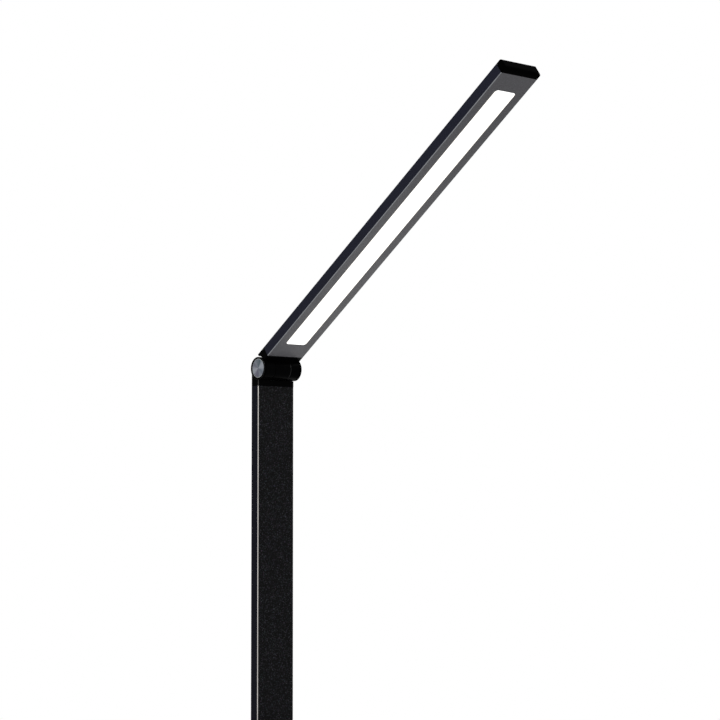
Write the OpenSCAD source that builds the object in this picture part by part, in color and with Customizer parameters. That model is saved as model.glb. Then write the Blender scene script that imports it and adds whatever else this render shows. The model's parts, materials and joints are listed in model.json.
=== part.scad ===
// Folding LED desk lamp: weighted base, flat arm and flat head on two friction hinges.
// Origin at the middle of the pad's underside, +Z up, front towards -Y, hinge axes along X.
// The arm and the head share one bar profile. Each is drawn upright, with its lit or front face
// towards -Y and its hinge axis through the origin, and is then set on its hinge.

/* [Base] */
// Width of the base
base_w = 180; // [150:1:240]
// Depth of the base, front to back
base_d = 150; // [135:1:200]
// Height of the cover, from its rim to its top
cover_h = 16.5; // [15.5:0.5:24]
// Radius of the base's corners, seen from above
corner_r = 24; // [18:1:36]
// Radius of the rounded edge round the cover's top
edge_r = 3; // [1.5:0.5:4]
// Wall of the cover
cover_wall = 2.5; // [2:0.1:3.2]
// Thickness of the steel base plate
plate_t = 2; // [1.5:0.1:2.6]
// Thickness of the non-slip pad
pad_t = 1.5; // [1:0.1:3]
// How far the pad's edge stays inside the cover's outline
pad_inset = 7; // [4:0.5:14]
// Gap between the base plate and the cover's wall
plate_gap = 0.3; // [0.1:0.05:0.6]

/* [Ballast] */
// Gap between the ballast plate and the cover's screw bosses
ballast_side_gap = 1.6; // [1:0.1:12]
// Gap between the ballast plate and the bracket's flange
ballast_back_gap = 7.2; // [6:0.2:20]
// Radius of the ballast plate's corners
ballast_r = 6; // [4:0.5:10]
// Thickness of the ballast plate
ballast_t = 8; // [5:0.5:8.4]
// From the base's front edge to the ballast plate
ballast_front = 12; // [9:1:14]

/* [Touch panel] */
// How far the control board reaches past the panel, to each side
control_side = 4; // [2:0.5:8]
// How far the control board reaches past the panel, front and back
control_depth = 2; // [1:0.5:3]
// Gap between the control board and the cover's screw bosses
control_gap = 5.6; // [1:0.1:16]
// Depth of the touch panel
panel_d = 24; // [20:1:30]
// Thickness of the touch panel
panel_t = 1.4; // [1:0.1:1.8]
// From the base's front edge to the touch panel
panel_front = 12; // [9:0.5:16]
// Width of the ledge that the panel rests on
panel_ledge = 4; // [3:0.5:5]
// Gap round the panel
panel_gap = 0.15; // [0.1:0.05:0.3]
// Thickness of the circuit boards
board_t = 1.6; // [1:0.1:1.6]

/* [Supply inlet] */
// Width of the inlet's body
jack_w = 9; // [8.5:0.1:11]
// Height of the inlet's body
jack_h = 7.6; // [7.4:0.1:8]
// Length of the inlet's body behind the wall
jack_l = 11; // [10:0.5:14]
// Radius of the inlet's collar in the wall
jack_collar_r = 3.6; // [3.4:0.05:3.7]
// Radius of the socket for the plug
jack_bore_r = 2.9; // [2.75:0.05:3.1]
// Radius of the contact pin
jack_pin_r = 1.05; // [0.8:0.05:1.2]
// Depth of the socket
jack_depth = 9.5; // [8:0.5:10]
// How far the collar stays below the cover's back face
jack_recess = 0.3; // [0.1:0.1:0.6]
// How far the pin stays below the collar's face
jack_pin_recess = 1; // [0.5:0.1:2]
// Gap round the collar in the cover
jack_gap = 0.15; // [0.1:0.05:0.3]

/* [Bars] */
// Width of the arm and the head
bar_w = 40; // [36:0.5:50]
// Thickness of the arm and the head
bar_t = 9.6; // [9.1:0.1:10]
// Wall of both tubes
bar_wall = 1.2; // [1:0.1:1.3]
// Radius of the tubes' rounded corners at the back
bar_edge_r = 0.5; // [0.3:0.1:1]
// Width that the cut corners at the front of the tubes take off each face
cut_edge = 0.5; // [0.3:0.1:1]
// Head length, from hinge axis to tip
head_len = 373.8; // [300:0.2:440]
// From the folded head's tip to the lower hinge axis
fold_reach = 19.6; // [18:0.2:80]
// Angle of the head above horizontal
head_rise = 35; // [0:1:80]
// From the hinge axes to the ends of the arm tube
arm_reach = 15.4; // [14.6:0.1:18]
// From the upper hinge axis to the start of the head tube
head_reach = 16.4; // [15:0.1:18]
// How far the end pieces reach into the arm tube
arm_spigot = 24; // [18:1:30]
// Gap round an end piece inside its tube
spigot_gap = 0.1; // [0.05:0.01:0.15]
// Length of the tip cap
tip_len = 5.6; // [4:0.1:8]
// Radius of the tip cap's corners, seen from below
tip_corner_r = 2; // [0.8:0.1:3]
// Radius of the tip cap's end towards the lit side
tip_front_r = 3; // [1:0.1:3.5]
// Radius of the tip cap's end towards the back
tip_back_r = 1.2; // [0.5:0.1:3]
// Thickness of the two ribs inside the arm tube
rib_t = 1; // [0.8:0.1:1.4]
// Distance between the ribs inside the arm tube
rib_pitch = 18; // [14:0.5:21]
// How far the ribs are cut back from the end pieces
rib_relief = 12; // [10:1:20]

/* [Hinges] */
// Radius of the hinge barrels
hinge_r = 9.9; // [9.7:0.05:10.4]
// How far the barrels' end caps reach past the bars' sides
hinge_over = 0.9; // [0.75:0.05:2]
// Height of the lower hinge axis above the cover
axis_lift = 16; // [15:0.5:22]
// From the base's back edge to the lower hinge axis
axis_setback = 36; // [34:1:46]
// Gap between the arm and the head when they are folded together
fold_gap = 1.4; // [1:0.1:2.4]
// Width of the middle knuckle
knuckle_w = 16; // [13:0.5:16.5]
// Gap between a knuckle and the pocket that it turns in
pocket_gap = 0.4; // [0.3:0.05:0.6]
// Gap between the barrel and the end piece hollowed round it
relief_gap = 0.7; // [0.5:0.1:2.2]
// From a hinge axis to the flat foot of an end piece's shoulders
shoulder_rise = 6.2; // [4:0.1:8]
// Diameter of the hollow axle
axle_d = 8; // [7:0.1:8.4]
// Diameter of the axle's own bore
axle_bore = 4.6; // [4:0.1:5]
// Gap between the axle and the holes that it turns in
run_gap = 0.05; // [0.02:0.01:0.08]
// Diameter of the friction washers
washer_d = 16.6; // [14:0.1:17]
// Thickness of a friction washer
washer_t = 0.6; // [0.4:0.05:0.8]
// Gap between a washer and the knuckle
washer_gap = 0.05; // [0.02:0.01:0.1]
// Diameter of the seat for the axle's head and for its nut
seat_d = 15; // [14.6:0.1:15.6]
// Depth of that seat
seat_depth = 5; // [4.8:0.1:5.2]
// Thickness of the axle's head
axle_head_t = 2; // [1.5:0.1:2.5]
// Thickness of the nut
nut_t = 2.4; // [2:0.1:2.6]
// Width of the nut across its flats
nut_flats = 12; // [11:0.1:12.4]
// Thickness of the disc spring's metal
spring_t = 0.6; // [0.4:0.05:0.7]
// Height of the disc spring's cone
spring_rise = 0.5; // [0.3:0.05:0.6]
// Length of an end cap along the axis
cap_w = 2.6; // [2.2:0.1:3]
// Width of the bevel round an end cap's face
cap_edge = 0.2; // [0.1:0.05:0.6]
// Gap between an end cap and the shoulder below it
cap_gap = 0.2; // [0.1:0.05:0.4]
// Diameter of the silver disc
disc_d = 16.7; // [14:0.1:17.2]
// Thickness of the silver disc
disc_t = 1; // [0.8:0.1:1.3]
// How far the silver disc lies below the end cap's face
disc_recess = 0.4; // [0.1:0.05:0.6]
// Width of the silver disc's flat rim
disc_rim = 0.5; // [0.3:0.1:0.8]
// Width of the bevel round the silver disc
disc_edge = 0.25; // [0.1:0.05:0.3]
// How far the silver disc is spun hollow
disc_dish = 0.12; // [0.05:0.01:0.2]
// Gap round the silver disc
disc_gap = 0.05; // [0.02:0.01:0.1]

/* [Bracket] */
// Thickness of the flange below the cover's top
flange_t = 3; // [2:0.1:4]
// How far the flange reaches past the pedestal, to each side
flange_side = 10; // [9:0.5:14]
// How far the flange reaches past the pedestal, front and back
flange_depth = 7; // [6:0.5:8]
// Diameter of the flange's legs
leg_d = 8; // [7:0.1:9]
// From a leg to the flange's edge
leg_inset = 1; // [0.5:0.1:1.5]
// Gap round the pedestal in the cover
slot_gap = 0.2; // [0.1:0.05:0.4]

/* [Light] */
// Width of the light window
window_w = 22.4; // [18:0.1:26]
// From the hinge axis to the window
window_start = 33.3; // [32.4:0.1:36]
// From the window to the head's tip
window_tip = 23; // [20:0.1:40]
// Radius of the window's corners
window_r = 3; // [2:0.1:5]
// How far the diffuser's face lies inside the window
window_recess = 0.2; // [0.1:0.05:0.4]
// Gap round the diffuser in the window
window_gap = 0.1; // [0.05:0.01:0.2]
// Thickness of the diffuser's flange
diffuser_t = 0.9; // [0.7:0.05:1]
// How far the flange reaches past the window
diffuser_lip = 3; // [2:0.1:3.2]
// Thickness of the light guide
guide_t = 3; // [2.4:0.1:3.2]
// Thickness of the reflector sheet
reflector_t = 0.3; // [0.2:0.05:0.4]
// Thickness of the LED strips' boards
strip_t = 0.9; // [0.7:0.1:1.1]
// Height of an LED above its board
led_h = 0.7; // [0.5:0.1:0.8]
// Length of an LED
led_w = 3; // [2:0.1:4]
// Distance from LED to LED
led_pitch = 13; // [10:0.5:18]
// Gap between the LEDs and the light guide
guide_gap = 0.2; // [0.1:0.05:0.4]

/* [Screws and leads] */
// Thread diameter of the cover screws
cover_screw_d = 3; // [2.5:0.1:3.5]
// Thread diameter of the bracket screws
leg_screw_d = 4; // [3:0.1:4.5]
// Thread diameter of the arm screws
arm_screw_d = 2.5; // [2:0.1:2.6]
// Gap round a screw in its clearance hole
screw_gap = 0.1; // [0.05:0.01:0.15]
// Wall of the bosses round the cover screws
boss_wall = 2.5; // [2:0.1:3.5]
// From the arm's side to its screws
arm_screw_inset = 9; // [7:0.5:11]
// Diameter of the inner leads
lead_d = 2; // [1.6:0.1:2.2]
// Gap round a lead in its hole
lead_gap = 0.3; // [0.2:0.05:0.4]

/* [Hidden] */
$fn = 64;
eps = 0.01;

// Heights
rim_z = pad_t;
plate_top = rim_z + plate_t;
cover_top = rim_z + cover_h;
ceiling = cover_top - cover_wall;
axis_z = cover_top + axis_lift;
axis_y = base_d / 2 - axis_setback;
arm_len = head_len + fold_reach;
upper_z = axis_z + arm_len;

// Bars, measured from their own hinge axis: the back of the arm is flush with the barrel
arm_front = hinge_r - bar_t;
head_front = fold_gap - arm_front;
cavity_w = bar_w - 2 * bar_wall;
cavity_t = bar_t - 2 * bar_wall;
spigot_w = cavity_w - 2 * spigot_gap;
spigot_t = cavity_t - 2 * spigot_gap;

// Hinge, along its axis
hinge_w = bar_w + 2 * hinge_over;
ear_in = knuckle_w / 2 + washer_gap + washer_t;
ear_out = hinge_w / 2 - cap_w;
seat_x = ear_out - seat_depth;
axle_r = axle_d / 2;
axle_inset = 1;
axle_end = ear_out - axle_inset;
seat_gap = 0.3;
spring_gap = 0.2;
plug_gap = 0.1;
plug_wall = 1;
plug_len = 0.8;
pocket_r = hinge_r + pocket_gap;
relief_r = hinge_r + relief_gap;
shoulder = hinge_r + cap_gap;
disc_seat = disc_t + disc_recess;
pedestal_r = 1.5;
pocket_floor = 5.5;
bore_r = axle_r + run_gap;
lead_hole_r = lead_d / 2 + lead_gap;
lead_x = (seat_x + ear_out) / 2;

// Head
window_len = head_len - window_start - window_tip;
window_end = window_start + window_len;
head_tube_end = head_len - tip_len;
diffuser_w = window_w + 2 * diffuser_lip;
optic_start = window_start - diffuser_lip;
optic_len = window_len + 2 * diffuser_lip;
lead_room = 0.2;
head_spigot = optic_start - head_reach - lead_d - 2 * lead_room;
inner_face = head_front + bar_wall;
guide_face = inner_face + diffuser_t;
reflector_face = guide_face + guide_t;
foam_face = reflector_face + reflector_t;
foam_t = head_front + bar_t - bar_wall - foam_face;
strip_x = cavity_w / 2 - strip_t;
guide_w = 2 * (strip_x - led_h - guide_gap);
led_inset = 0.3;
strip_over = 1;
foam_inset = 2;
optic_gap = 1;
led_count = floor(window_len / led_pitch);

// Screws
head_ratio = 1.9;
cover_head_r = cover_screw_d * head_ratio / 2;
leg_head_r = leg_screw_d * head_ratio / 2;
arm_head_r = arm_screw_d * head_ratio / 2;
boss_r = cover_screw_d / 2 + boss_wall;
boss_inset = corner_r * 0.6;
boss_x = base_w / 2 - boss_inset;
boss_y = base_d / 2 - boss_inset;
leg_x = bar_w / 2 + flange_side - leg_d / 2 - leg_inset;
leg_y = hinge_r + flange_depth - leg_d / 2 - leg_inset;
arm_screw_x = bar_w / 2 - arm_screw_inset;
cover_screw_short = 2.5;
leg_screw_short = 3;
leg_hole_short = 1;
arm_screw_short = 1;
spigot_hole_start = 0.5;

// Inside the base
control_w = 2 * (boss_x - boss_r - control_gap);
control_d = panel_d + 2 * control_depth;
control_r = 1;
chip_w = 8;
chip_t = 1.2;
panel_w = control_w - 2 * control_side;
panel_y = -base_d / 2 + panel_front + panel_d / 2;
panel_z = cover_top - panel_t;
inlet_wall_y = base_d / 2 - cover_wall;
inlet_foot_d = 3;
inlet_foot_h = 1;
inlet_foot_inset = 2;
inlet_board_z = plate_top + inlet_foot_h;
inlet_board_w = 26;
inlet_board_over = 1;
inlet_board_d = jack_l + inlet_board_over;
jack_z = inlet_board_z + board_t + jack_h / 2;
ballast_w = 2 * (boss_x - boss_r - ballast_side_gap);
ballast_d = axis_y - hinge_r - flange_depth - ballast_back_gap + base_d / 2 - ballast_front;
ballast_y = -base_d / 2 + ballast_front + ballast_d / 2;
ballast_top = plate_top + ballast_t;
lead_side_gap = 1;
lead_tuck = 3;
inlet_lead_y = inlet_wall_y - inlet_board_d + lead_d;
lead_rise_y = ballast_y + ballast_d / 2 + lead_d;
lead_end_y = panel_y + control_d / 2 - lead_tuck;
lead_top_z = (ballast_top + ceiling - board_t) / 2;

gloss_black = [0.03, 0.03, 0.035];
satin_black = [0.10, 0.10, 0.11];
dark_grey = [0.25, 0.25, 0.27];
silver = [0.72, 0.74, 0.77];
steel = [0.60, 0.61, 0.63];
iron = [0.30, 0.30, 0.31];
board_green = [0.05, 0.30, 0.16];
opal = [0.97, 0.96, 0.92];
lead_red = [0.5, 0.05, 0.05];

// ---------- Places ----------

module at_lower_axis() {
    translate([0, axis_y, axis_z]) children();
}

module at_upper_axis() {
    translate([0, axis_y, upper_z]) children();
}

// Takes an upright bar on the upper axis to the head's angle
module at_head() {
    at_upper_axis() rotate([90 - head_rise, 0, 0]) children();
}

// ---------- Shared shapes ----------

// Extrudes an outline drawn in (y, z) along X
module along_x(from, to) {
    translate([from, 0, 0]) rotate([90, 0, 90]) linear_extrude(to - from) children();
}

// Extrudes an outline drawn in (x, z) along Y
module along_y(from, to) {
    translate([0, to, 0]) rotate([90, 0, 0]) linear_extrude(to - from) children();
}

module round_rect(w, d, r) {
    square([w - 2 * r, d], center = true);
    square([w, d - 2 * r], center = true);
    for (x = [-1, 1], y = [-1, 1]) translate([x * (w / 2 - r), y * (d / 2 - r)]) circle(r);
}

// Cross-section of a bar: cut corners at its front, round ones at its back
module bar_outline() {
    half = bar_w / 2;
    front = -bar_t / 2;
    back = bar_t / 2;
    polygon([
        [-half, back - bar_edge_r], [-half, front + cut_edge], [-half + cut_edge, front],
        [half - cut_edge, front], [half, front + cut_edge], [half, back - bar_edge_r]
    ]);
    translate([-half + bar_edge_r, 0]) square([bar_w - 2 * bar_edge_r, back]);
    for (side = [-1, 1]) translate([side * (half - bar_edge_r), back - bar_edge_r]) circle(bar_edge_r);
}

// A slab whose top edge is rounded all the way round
module domed_slab(w, d, h, r, edge) {
    for (x = [-1, 1], y = [-1, 1])
        translate([x * (w / 2 - r), y * (d / 2 - r), 0]) rotate_extrude() edge_profile(r, h, edge);
    along_x(-w / 2 + r, w / 2 - r) slab_profile(d / 2, h, edge);
    along_y(-d / 2 + r, d / 2 - r) slab_profile(w / 2, h, edge);
}

// Half section of a slab: straight side, round top edge
module edge_profile(half, h, edge) {
    square([half, h - edge]);
    square([half - edge, h]);
    intersection() {
        translate([half - edge, h - edge]) circle(edge);
        square([half, h]);
    }
}

module slab_profile(half, h, edge) {
    edge_profile(half, h, edge);
    mirror([1, 0]) edge_profile(half, h, edge);
}

// A lead laid as straight runs with round corners
module lead_run(points, d) {
    for (i = [0 : len(points) - 2]) {
        run = points[i + 1] - points[i];
        length = norm(run);
        translate(points[i])
            rotate([0, acos(run[2] / length), atan2(run[1], run[0])])
            cylinder(d = d, h = length, $fn = 24);
    }
    if (len(points) > 2)
        for (i = [1 : len(points) - 2]) translate(points[i]) sphere(d = d, $fn = 24);
}

// Countersunk screw with its head's face at z = 0, pointing up
module countersunk_screw(d, head_r, length) {
    difference() {
        union() {
            cylinder(r1 = head_r, r2 = d / 2, h = head_r - d / 2);
            cylinder(d = d, h = length);
        }
        translate([0, 0, -eps]) cylinder(d = d * 0.62, h = d * 0.35, $fn = 6);
    }
}

// ---------- Hinge pieces, about an axis along X through the origin ----------

// Two ears on a body of the given front, back and foot, cut out round the end caps; the child is its
// outline, seen from above
module fork(front, back, foot) {
    middle = (front + back) / 2;
    difference() {
        union() {
            along_x(-ear_out, ear_out) circle(hinge_r);
            translate([0, middle, -foot]) linear_extrude(foot) children();
        }
        both_sides() along_x(ear_out, bar_w) circle(shoulder);
        along_x(-ear_in, ear_in) {
            circle(pocket_r);
            translate([-2 * hinge_r, -pocket_floor]) square([4 * hinge_r, 3 * hinge_r]);
        }
        along_x(-ear_out - eps, ear_out + eps) circle(bore_r);
        both_sides() along_x(seat_x, ear_out + eps) circle(d = seat_d);
        translate([lead_x, middle, -foot - eps]) cylinder(r = lead_hole_r, h = foot);
    }
}

// End piece of a bar: middle knuckle, hollowed shoulders, and a spigot for the tube
module knuckle_end(front, reach, spigot) {
    back = front + bar_t;
    middle = front + bar_t / 2;
    difference() {
        union() {
            along_x(-knuckle_w / 2, knuckle_w / 2) {
                circle(hinge_r);
                polygon([[front, 0], [hinge_r, 0], [back, shoulder_rise], [front, shoulder_rise]]);
            }
            translate([0, middle, shoulder_rise]) linear_extrude(reach - shoulder_rise) bar_outline();
            translate([0, middle, reach]) linear_extrude(spigot)
                square([spigot_w, spigot_t], center = true);
        }
        both_sides() along_x(knuckle_w / 2, bar_w) circle(relief_r);
        along_x(-knuckle_w, knuckle_w) circle(bore_r);
        translate([0, middle, 0]) cylinder(r = lead_hole_r, h = reach + spigot + eps);
        translate([0, middle, reach + spigot / 2]) linear_extrude(spigot)
            square([spigot_w / 2, spigot_t - 2 * bar_wall], center = true);
    }
}

// Hollow axle with a head at its left end and a slot for the lead in its middle
module hinge_axle() {
    difference() {
        union() {
            along_x(-seat_x - axle_head_t, axle_end) circle(d = axle_d);
            along_x(-seat_x - axle_head_t, -seat_x) circle(d = seat_d - 2 * seat_gap);
        }
        along_x(-hinge_w, hinge_w) circle(d = axle_bore);
        along_x(-lead_hole_r * 1.5, lead_hole_r * 1.5)
            translate([0, axle_r]) square([2 * lead_hole_r, axle_d], center = true);
    }
}

module disc_spring() {
    inner = axle_r + spring_gap;
    outer = seat_d / 2 - 2 * spring_gap;
    translate([seat_x, 0, 0]) rotate([0, 90, 0]) rotate_extrude() polygon([
        [outer, 0], [outer, spring_t], [inner, spring_t + spring_rise], [inner, spring_rise]
    ]);
}

module hinge_nut() {
    start = seat_x + spring_t + spring_rise;
    difference() {
        translate([start, 0, 0]) rotate([0, 90, 0])
            cylinder(d = nut_flats / cos(30), h = nut_t, $fn = 6);
        along_x(start - eps, start + nut_t + eps) circle(bore_r);
    }
}

module friction_washers() {
    for (side = [-1, 1]) translate([side * (ear_in - washer_t / 2), 0, 0]) rotate([0, 90, 0])
        difference() {
            cylinder(d = washer_d, h = washer_t, center = true);
            cylinder(r = bore_r, h = washer_t + 1, center = true);
        }
}

// End cap at the +X end: dished for the disc, with a ring that plugs the seat
module end_cap() {
    plug_r = seat_d / 2 - plug_gap;
    floor_t = cap_w - disc_seat;
    translate([ear_out, 0, 0]) rotate([0, 90, 0]) rotate_extrude() {
        difference() {
            polygon([
                [0, 0], [hinge_r, 0], [hinge_r, cap_w - cap_edge], [hinge_r - cap_edge, cap_w], [0, cap_w]
            ]);
            translate([0, floor_t]) square([disc_d / 2 + disc_gap, cap_w]);
        }
        translate([plug_r - plug_wall, -plug_len]) square([plug_wall, plug_len + eps]);
    }
}

// Silver disc at the +X end, spun slightly hollow, with a bevelled rim
module end_disc() {
    r = disc_d / 2;
    start = ear_out + cap_w - disc_seat;
    translate([start, 0, 0]) rotate([0, 90, 0]) rotate_extrude() polygon([
        [0, 0], [r, 0], [r, disc_t - disc_edge], [r - disc_edge, disc_t], [r - disc_rim, disc_t],
        [0, disc_t - disc_dish]
    ]);
}

module to_left() {
    mirror([1, 0, 0]) children();
}

module both_sides() {
    children();
    to_left() children();
}

// ---------- Base ----------

module non_slip_pad() {
    color(satin_black) linear_extrude(pad_t)
        round_rect(base_w - 2 * pad_inset, base_d - 2 * pad_inset, corner_r - pad_inset / 2);
}

module base_plate() {
    margin = cover_wall + plate_gap;
    color(steel) difference() {
        translate([0, 0, rim_z]) linear_extrude(plate_t)
            round_rect(base_w - 2 * margin, base_d - 2 * margin, corner_r - margin);
        for (x = [-boss_x, boss_x], y = [-boss_y, boss_y]) translate([x, y, rim_z])
            screw_hole(cover_screw_d, cover_head_r);
        for (x = [-leg_x, leg_x], y = [-leg_y, leg_y]) translate([x, axis_y + y, rim_z])
            screw_hole(leg_screw_d, leg_head_r);
    }
}

// Countersunk clearance hole through the base plate
module screw_hole(d, head_r) {
    r = d / 2 + screw_gap;
    translate([0, 0, -eps]) cylinder(r1 = head_r + screw_gap, r2 = r, h = head_r - d / 2 + eps);
    translate([0, 0, -eps]) cylinder(r = r, h = plate_t + 2 * eps);
}

module ballast_plate() {
    color(iron) translate([0, ballast_y, plate_top]) linear_extrude(ballast_t)
        round_rect(ballast_w, ballast_d, ballast_r);
}

module base_cover() {
    inner_r = corner_r - cover_wall;
    color(gloss_black) difference() {
        union() {
            difference() {
                translate([0, 0, rim_z]) domed_slab(base_w, base_d, cover_h, corner_r, edge_r);
                translate([0, 0, rim_z - 1]) linear_extrude(ceiling - rim_z + 1)
                    round_rect(base_w - 2 * cover_wall, base_d - 2 * cover_wall, inner_r);
            }
            for (x = [-boss_x, boss_x], y = [-boss_y, boss_y])
                translate([x, y, plate_top]) cylinder(r = boss_r, h = ceiling - plate_top + eps);
        }
        for (x = [-boss_x, boss_x], y = [-boss_y, boss_y])
            translate([x, y, plate_top - eps]) cylinder(d = cover_screw_d, h = ceiling - plate_top);
        translate([0, panel_y, panel_z]) linear_extrude(panel_t + eps)
            round_rect(panel_w + 2 * panel_gap, panel_d + 2 * panel_gap, panel_d / 4);
        translate([0, panel_y, ceiling - eps]) linear_extrude(cover_wall)
            round_rect(panel_w - 2 * panel_ledge, panel_d - 2 * panel_ledge, panel_ledge / 2);
        translate([0, axis_y, ceiling - eps]) linear_extrude(cover_wall + 2 * eps)
            round_rect(bar_w + 2 * slot_gap, 2 * (hinge_r + slot_gap), pedestal_r + slot_gap);
        translate([0, 0, jack_z]) along_y(inlet_wall_y - 1, base_d / 2 + 1)
            circle(jack_collar_r + jack_gap);
    }
}

module cover_screws() {
    length = ceiling - rim_z - cover_screw_short;
    color(steel) for (x = [-boss_x, boss_x], y = [-boss_y, boss_y])
        translate([x, y, rim_z]) countersunk_screw(cover_screw_d, cover_head_r, length);
}

module touch_panel() {
    color(gloss_black) translate([0, panel_y, panel_z]) linear_extrude(panel_t)
        round_rect(panel_w, panel_d, panel_d / 4 - panel_gap);
}

// Board below the panel, with the light driver's parts on its underside
module control_board() {
    z = ceiling - board_t;
    color(board_green) {
        translate([0, panel_y, z]) linear_extrude(board_t) round_rect(control_w, control_d, control_r);
        for (place = [-0.34, -0.15, 0.09, 0.3])
            translate([place * control_w, panel_y, z - chip_t / 2])
            cube([chip_w, chip_w, chip_t + eps], center = true);
    }
}

// Small board that carries the supply inlet, on two feet
module inlet_board() {
    y0 = inlet_wall_y - inlet_board_d;
    color(board_green) {
        translate([-inlet_board_w / 2, y0, inlet_board_z]) cube([inlet_board_w, inlet_board_d, board_t]);
        for (side = [-1, 1])
            translate([side * (inlet_board_w / 2 - inlet_foot_inset), y0 + inlet_board_d / 2, plate_top])
            cylinder(d = inlet_foot_d, h = inlet_foot_h + eps);
    }
}

module supply_inlet() {
    face = cover_wall - jack_recess;
    color(satin_black) translate([0, inlet_wall_y, jack_z]) {
        difference() {
            union() {
                along_y(-jack_l, 0) square([jack_w, jack_h], center = true);
                along_y(-eps, face) circle(jack_collar_r);
            }
            along_y(face - jack_depth, cover_wall) circle(jack_bore_r);
        }
        along_y(face - jack_depth - eps, face - jack_pin_recess) circle(jack_pin_r);
    }
}

// From the inlet board, past the bracket's leg and over the ballast, to below the control board
module base_lead() {
    side_x = leg_x + leg_d / 2 + lead_d + lead_side_gap;
    low = inlet_board_z + board_t / 2;
    color(lead_red) lead_run([
        [inlet_board_w / 2, inlet_lead_y, low],
        [side_x, inlet_lead_y, low],
        [side_x, lead_rise_y, low],
        [side_x, lead_rise_y, lead_top_z],
        [side_x, lead_end_y, lead_top_z]
    ], lead_d);
}

// From the control board, below the bracket's flange, and up to the right ear's seat
module riser_lead() {
    under = ceiling - flange_t - lead_d;
    color(lead_red) lead_run([
        [lead_x, lead_end_y, lead_top_z],
        [lead_x, lead_rise_y, lead_top_z],
        [lead_x, lead_rise_y, under],
        [lead_x, axis_y, under],
        [lead_x, axis_y, axis_z - seat_d / 2]
    ], lead_d);
}

module hinge_bracket() {
    top = axis_lift + cover_wall;
    foot = plate_top - axis_z;
    color(gloss_black) at_lower_axis() difference() {
        union() {
            fork(-hinge_r, hinge_r, top) round_rect(bar_w, 2 * hinge_r, pedestal_r);
            translate([0, 0, -top - flange_t]) linear_extrude(flange_t)
                round_rect(bar_w + 2 * flange_side, 2 * (hinge_r + flange_depth), leg_d / 2);
            for (x = [-leg_x, leg_x], y = [-leg_y, leg_y])
                translate([x, y, foot]) cylinder(d = leg_d, h = ceiling - flange_t - plate_top + eps);
        }
        for (x = [-leg_x, leg_x], y = [-leg_y, leg_y])
            translate([x, y, foot - eps]) cylinder(d = leg_screw_d, h = ceiling - plate_top - leg_hole_short);
        translate([lead_x, 0, -top - flange_t - eps]) cylinder(r = lead_hole_r, h = top);
    }
}

module bracket_screws() {
    length = ceiling - rim_z - leg_screw_short;
    color(steel) for (x = [-leg_x, leg_x], y = [-leg_y, leg_y])
        translate([x, axis_y + y, rim_z]) countersunk_screw(leg_screw_d, leg_head_r, length);
}

module lower_axle() { color(steel) at_lower_axis() hinge_axle(); }
module lower_axle_nut() { color(steel) at_lower_axis() hinge_nut(); }
module lower_disc_spring() { color(steel) at_lower_axis() disc_spring(); }
module lower_friction_washers() { color(steel) at_lower_axis() friction_washers(); }
module lower_left_cap() { color(gloss_black) at_lower_axis() to_left() end_cap(); }
module lower_right_cap() { color(gloss_black) at_lower_axis() end_cap(); }
module lower_left_disc() { color(silver) at_lower_axis() to_left() end_disc(); }
module lower_right_disc() { color(silver) at_lower_axis() end_disc(); }

// ---------- Arm, drawn upright on the lower axis ----------

module arm_tube() {
    length = arm_len - 2 * arm_reach;
    rib_start = arm_spigot + rib_relief;
    color(satin_black) at_lower_axis() translate([0, arm_front + bar_t / 2, arm_reach]) {
        difference() {
            linear_extrude(length) bar_outline();
            translate([0, 0, -eps]) linear_extrude(length + 2 * eps)
                square([cavity_w, cavity_t], center = true);
            arm_screw_places() translate([0, 0, -bar_t / 2])
                cylinder(r = arm_screw_d / 2 + screw_gap, h = bar_t / 2);
            arm_screw_places() countersink();
        }
        for (side = [-1, 1]) translate([side * rib_pitch / 2, 0, rib_start])
            linear_extrude(length - 2 * rib_start) square([rib_t, cavity_t + 2 * eps], center = true);
    }
}

// Four places on the arm tube's back face, looking out of it; z = 0 is the face
module arm_screw_places() {
    length = arm_len - 2 * arm_reach;
    for (x = [-arm_screw_x, arm_screw_x], z = [arm_spigot / 2, length - arm_spigot / 2])
        translate([x, bar_t / 2, z]) rotate([-90, 0, 0]) children();
}

module countersink() {
    depth = arm_head_r - arm_screw_d / 2;
    translate([0, 0, -depth]) cylinder(r1 = arm_screw_d / 2, r2 = arm_head_r + screw_gap, h = depth + eps);
}

module arm_screws() {
    color(steel) at_lower_axis() translate([0, arm_front + bar_t / 2, arm_reach])
        arm_screw_places() rotate([180, 0, 0])
        countersunk_screw(arm_screw_d, arm_head_r, bar_t - bar_wall - arm_screw_short);
}

module arm_lower_end() {
    color(gloss_black) at_lower_axis() difference() {
        knuckle_end(arm_front, arm_reach, arm_spigot);
        spigot_screw_holes(1);
    }
}

module arm_upper_fork() {
    color(gloss_black) at_upper_axis() difference() {
        union() {
            fork(arm_front, hinge_r, arm_reach) bar_outline();
            translate([0, arm_front + bar_t / 2, -arm_reach - arm_spigot]) linear_extrude(arm_spigot)
                square([spigot_w, spigot_t], center = true);
        }
        translate([lead_x, arm_front + bar_t / 2, -arm_reach - arm_spigot - eps])
            cylinder(r = lead_hole_r, h = arm_spigot + 2 * eps);
        spigot_screw_holes(-1);
    }
}

// Tapped holes for the arm screws in a spigot above (1) or below (-1) the axis
module spigot_screw_holes(direction) {
    z = direction * (arm_reach + arm_spigot / 2);
    for (x = [-arm_screw_x, arm_screw_x]) translate([x, arm_front + bar_wall + spigot_hole_start, z])
        rotate([-90, 0, 0]) cylinder(d = arm_screw_d, h = bar_t);
}

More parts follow.
